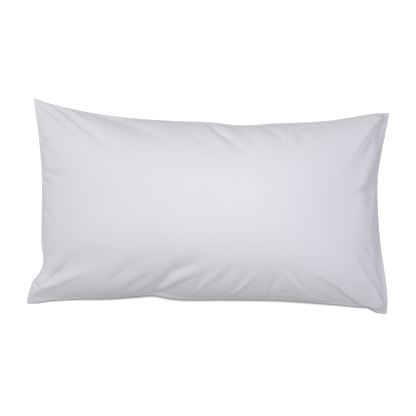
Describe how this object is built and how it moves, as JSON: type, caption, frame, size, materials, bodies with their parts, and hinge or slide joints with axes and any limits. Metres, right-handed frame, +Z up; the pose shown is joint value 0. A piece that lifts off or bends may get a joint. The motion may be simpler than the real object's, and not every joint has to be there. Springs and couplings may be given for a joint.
{
  "type": "pillowcase",
  "caption": "Long cotton pillowcase filled with its pillow, lying on its back: a plump crown, sides drawn in between thin creased corners, and slanting folds along a long seam.",
  "frame": {"origin": "the middle of the footprint, on the surface that the case lies on", "axes": "+X runs along the case to its right end, +Y across it to its far long seam, and +Z up out of its front"},
  "size_m": [0.8946, 0.5328, 0.1712],
  "materials": {
    "white_cotton": "plain white woven cotton, smooth and matt with a faint sheen"
  },
  "bodies": {
    "root": {"pillowcase": "white_cotton"}
  },
  "joints": []
}
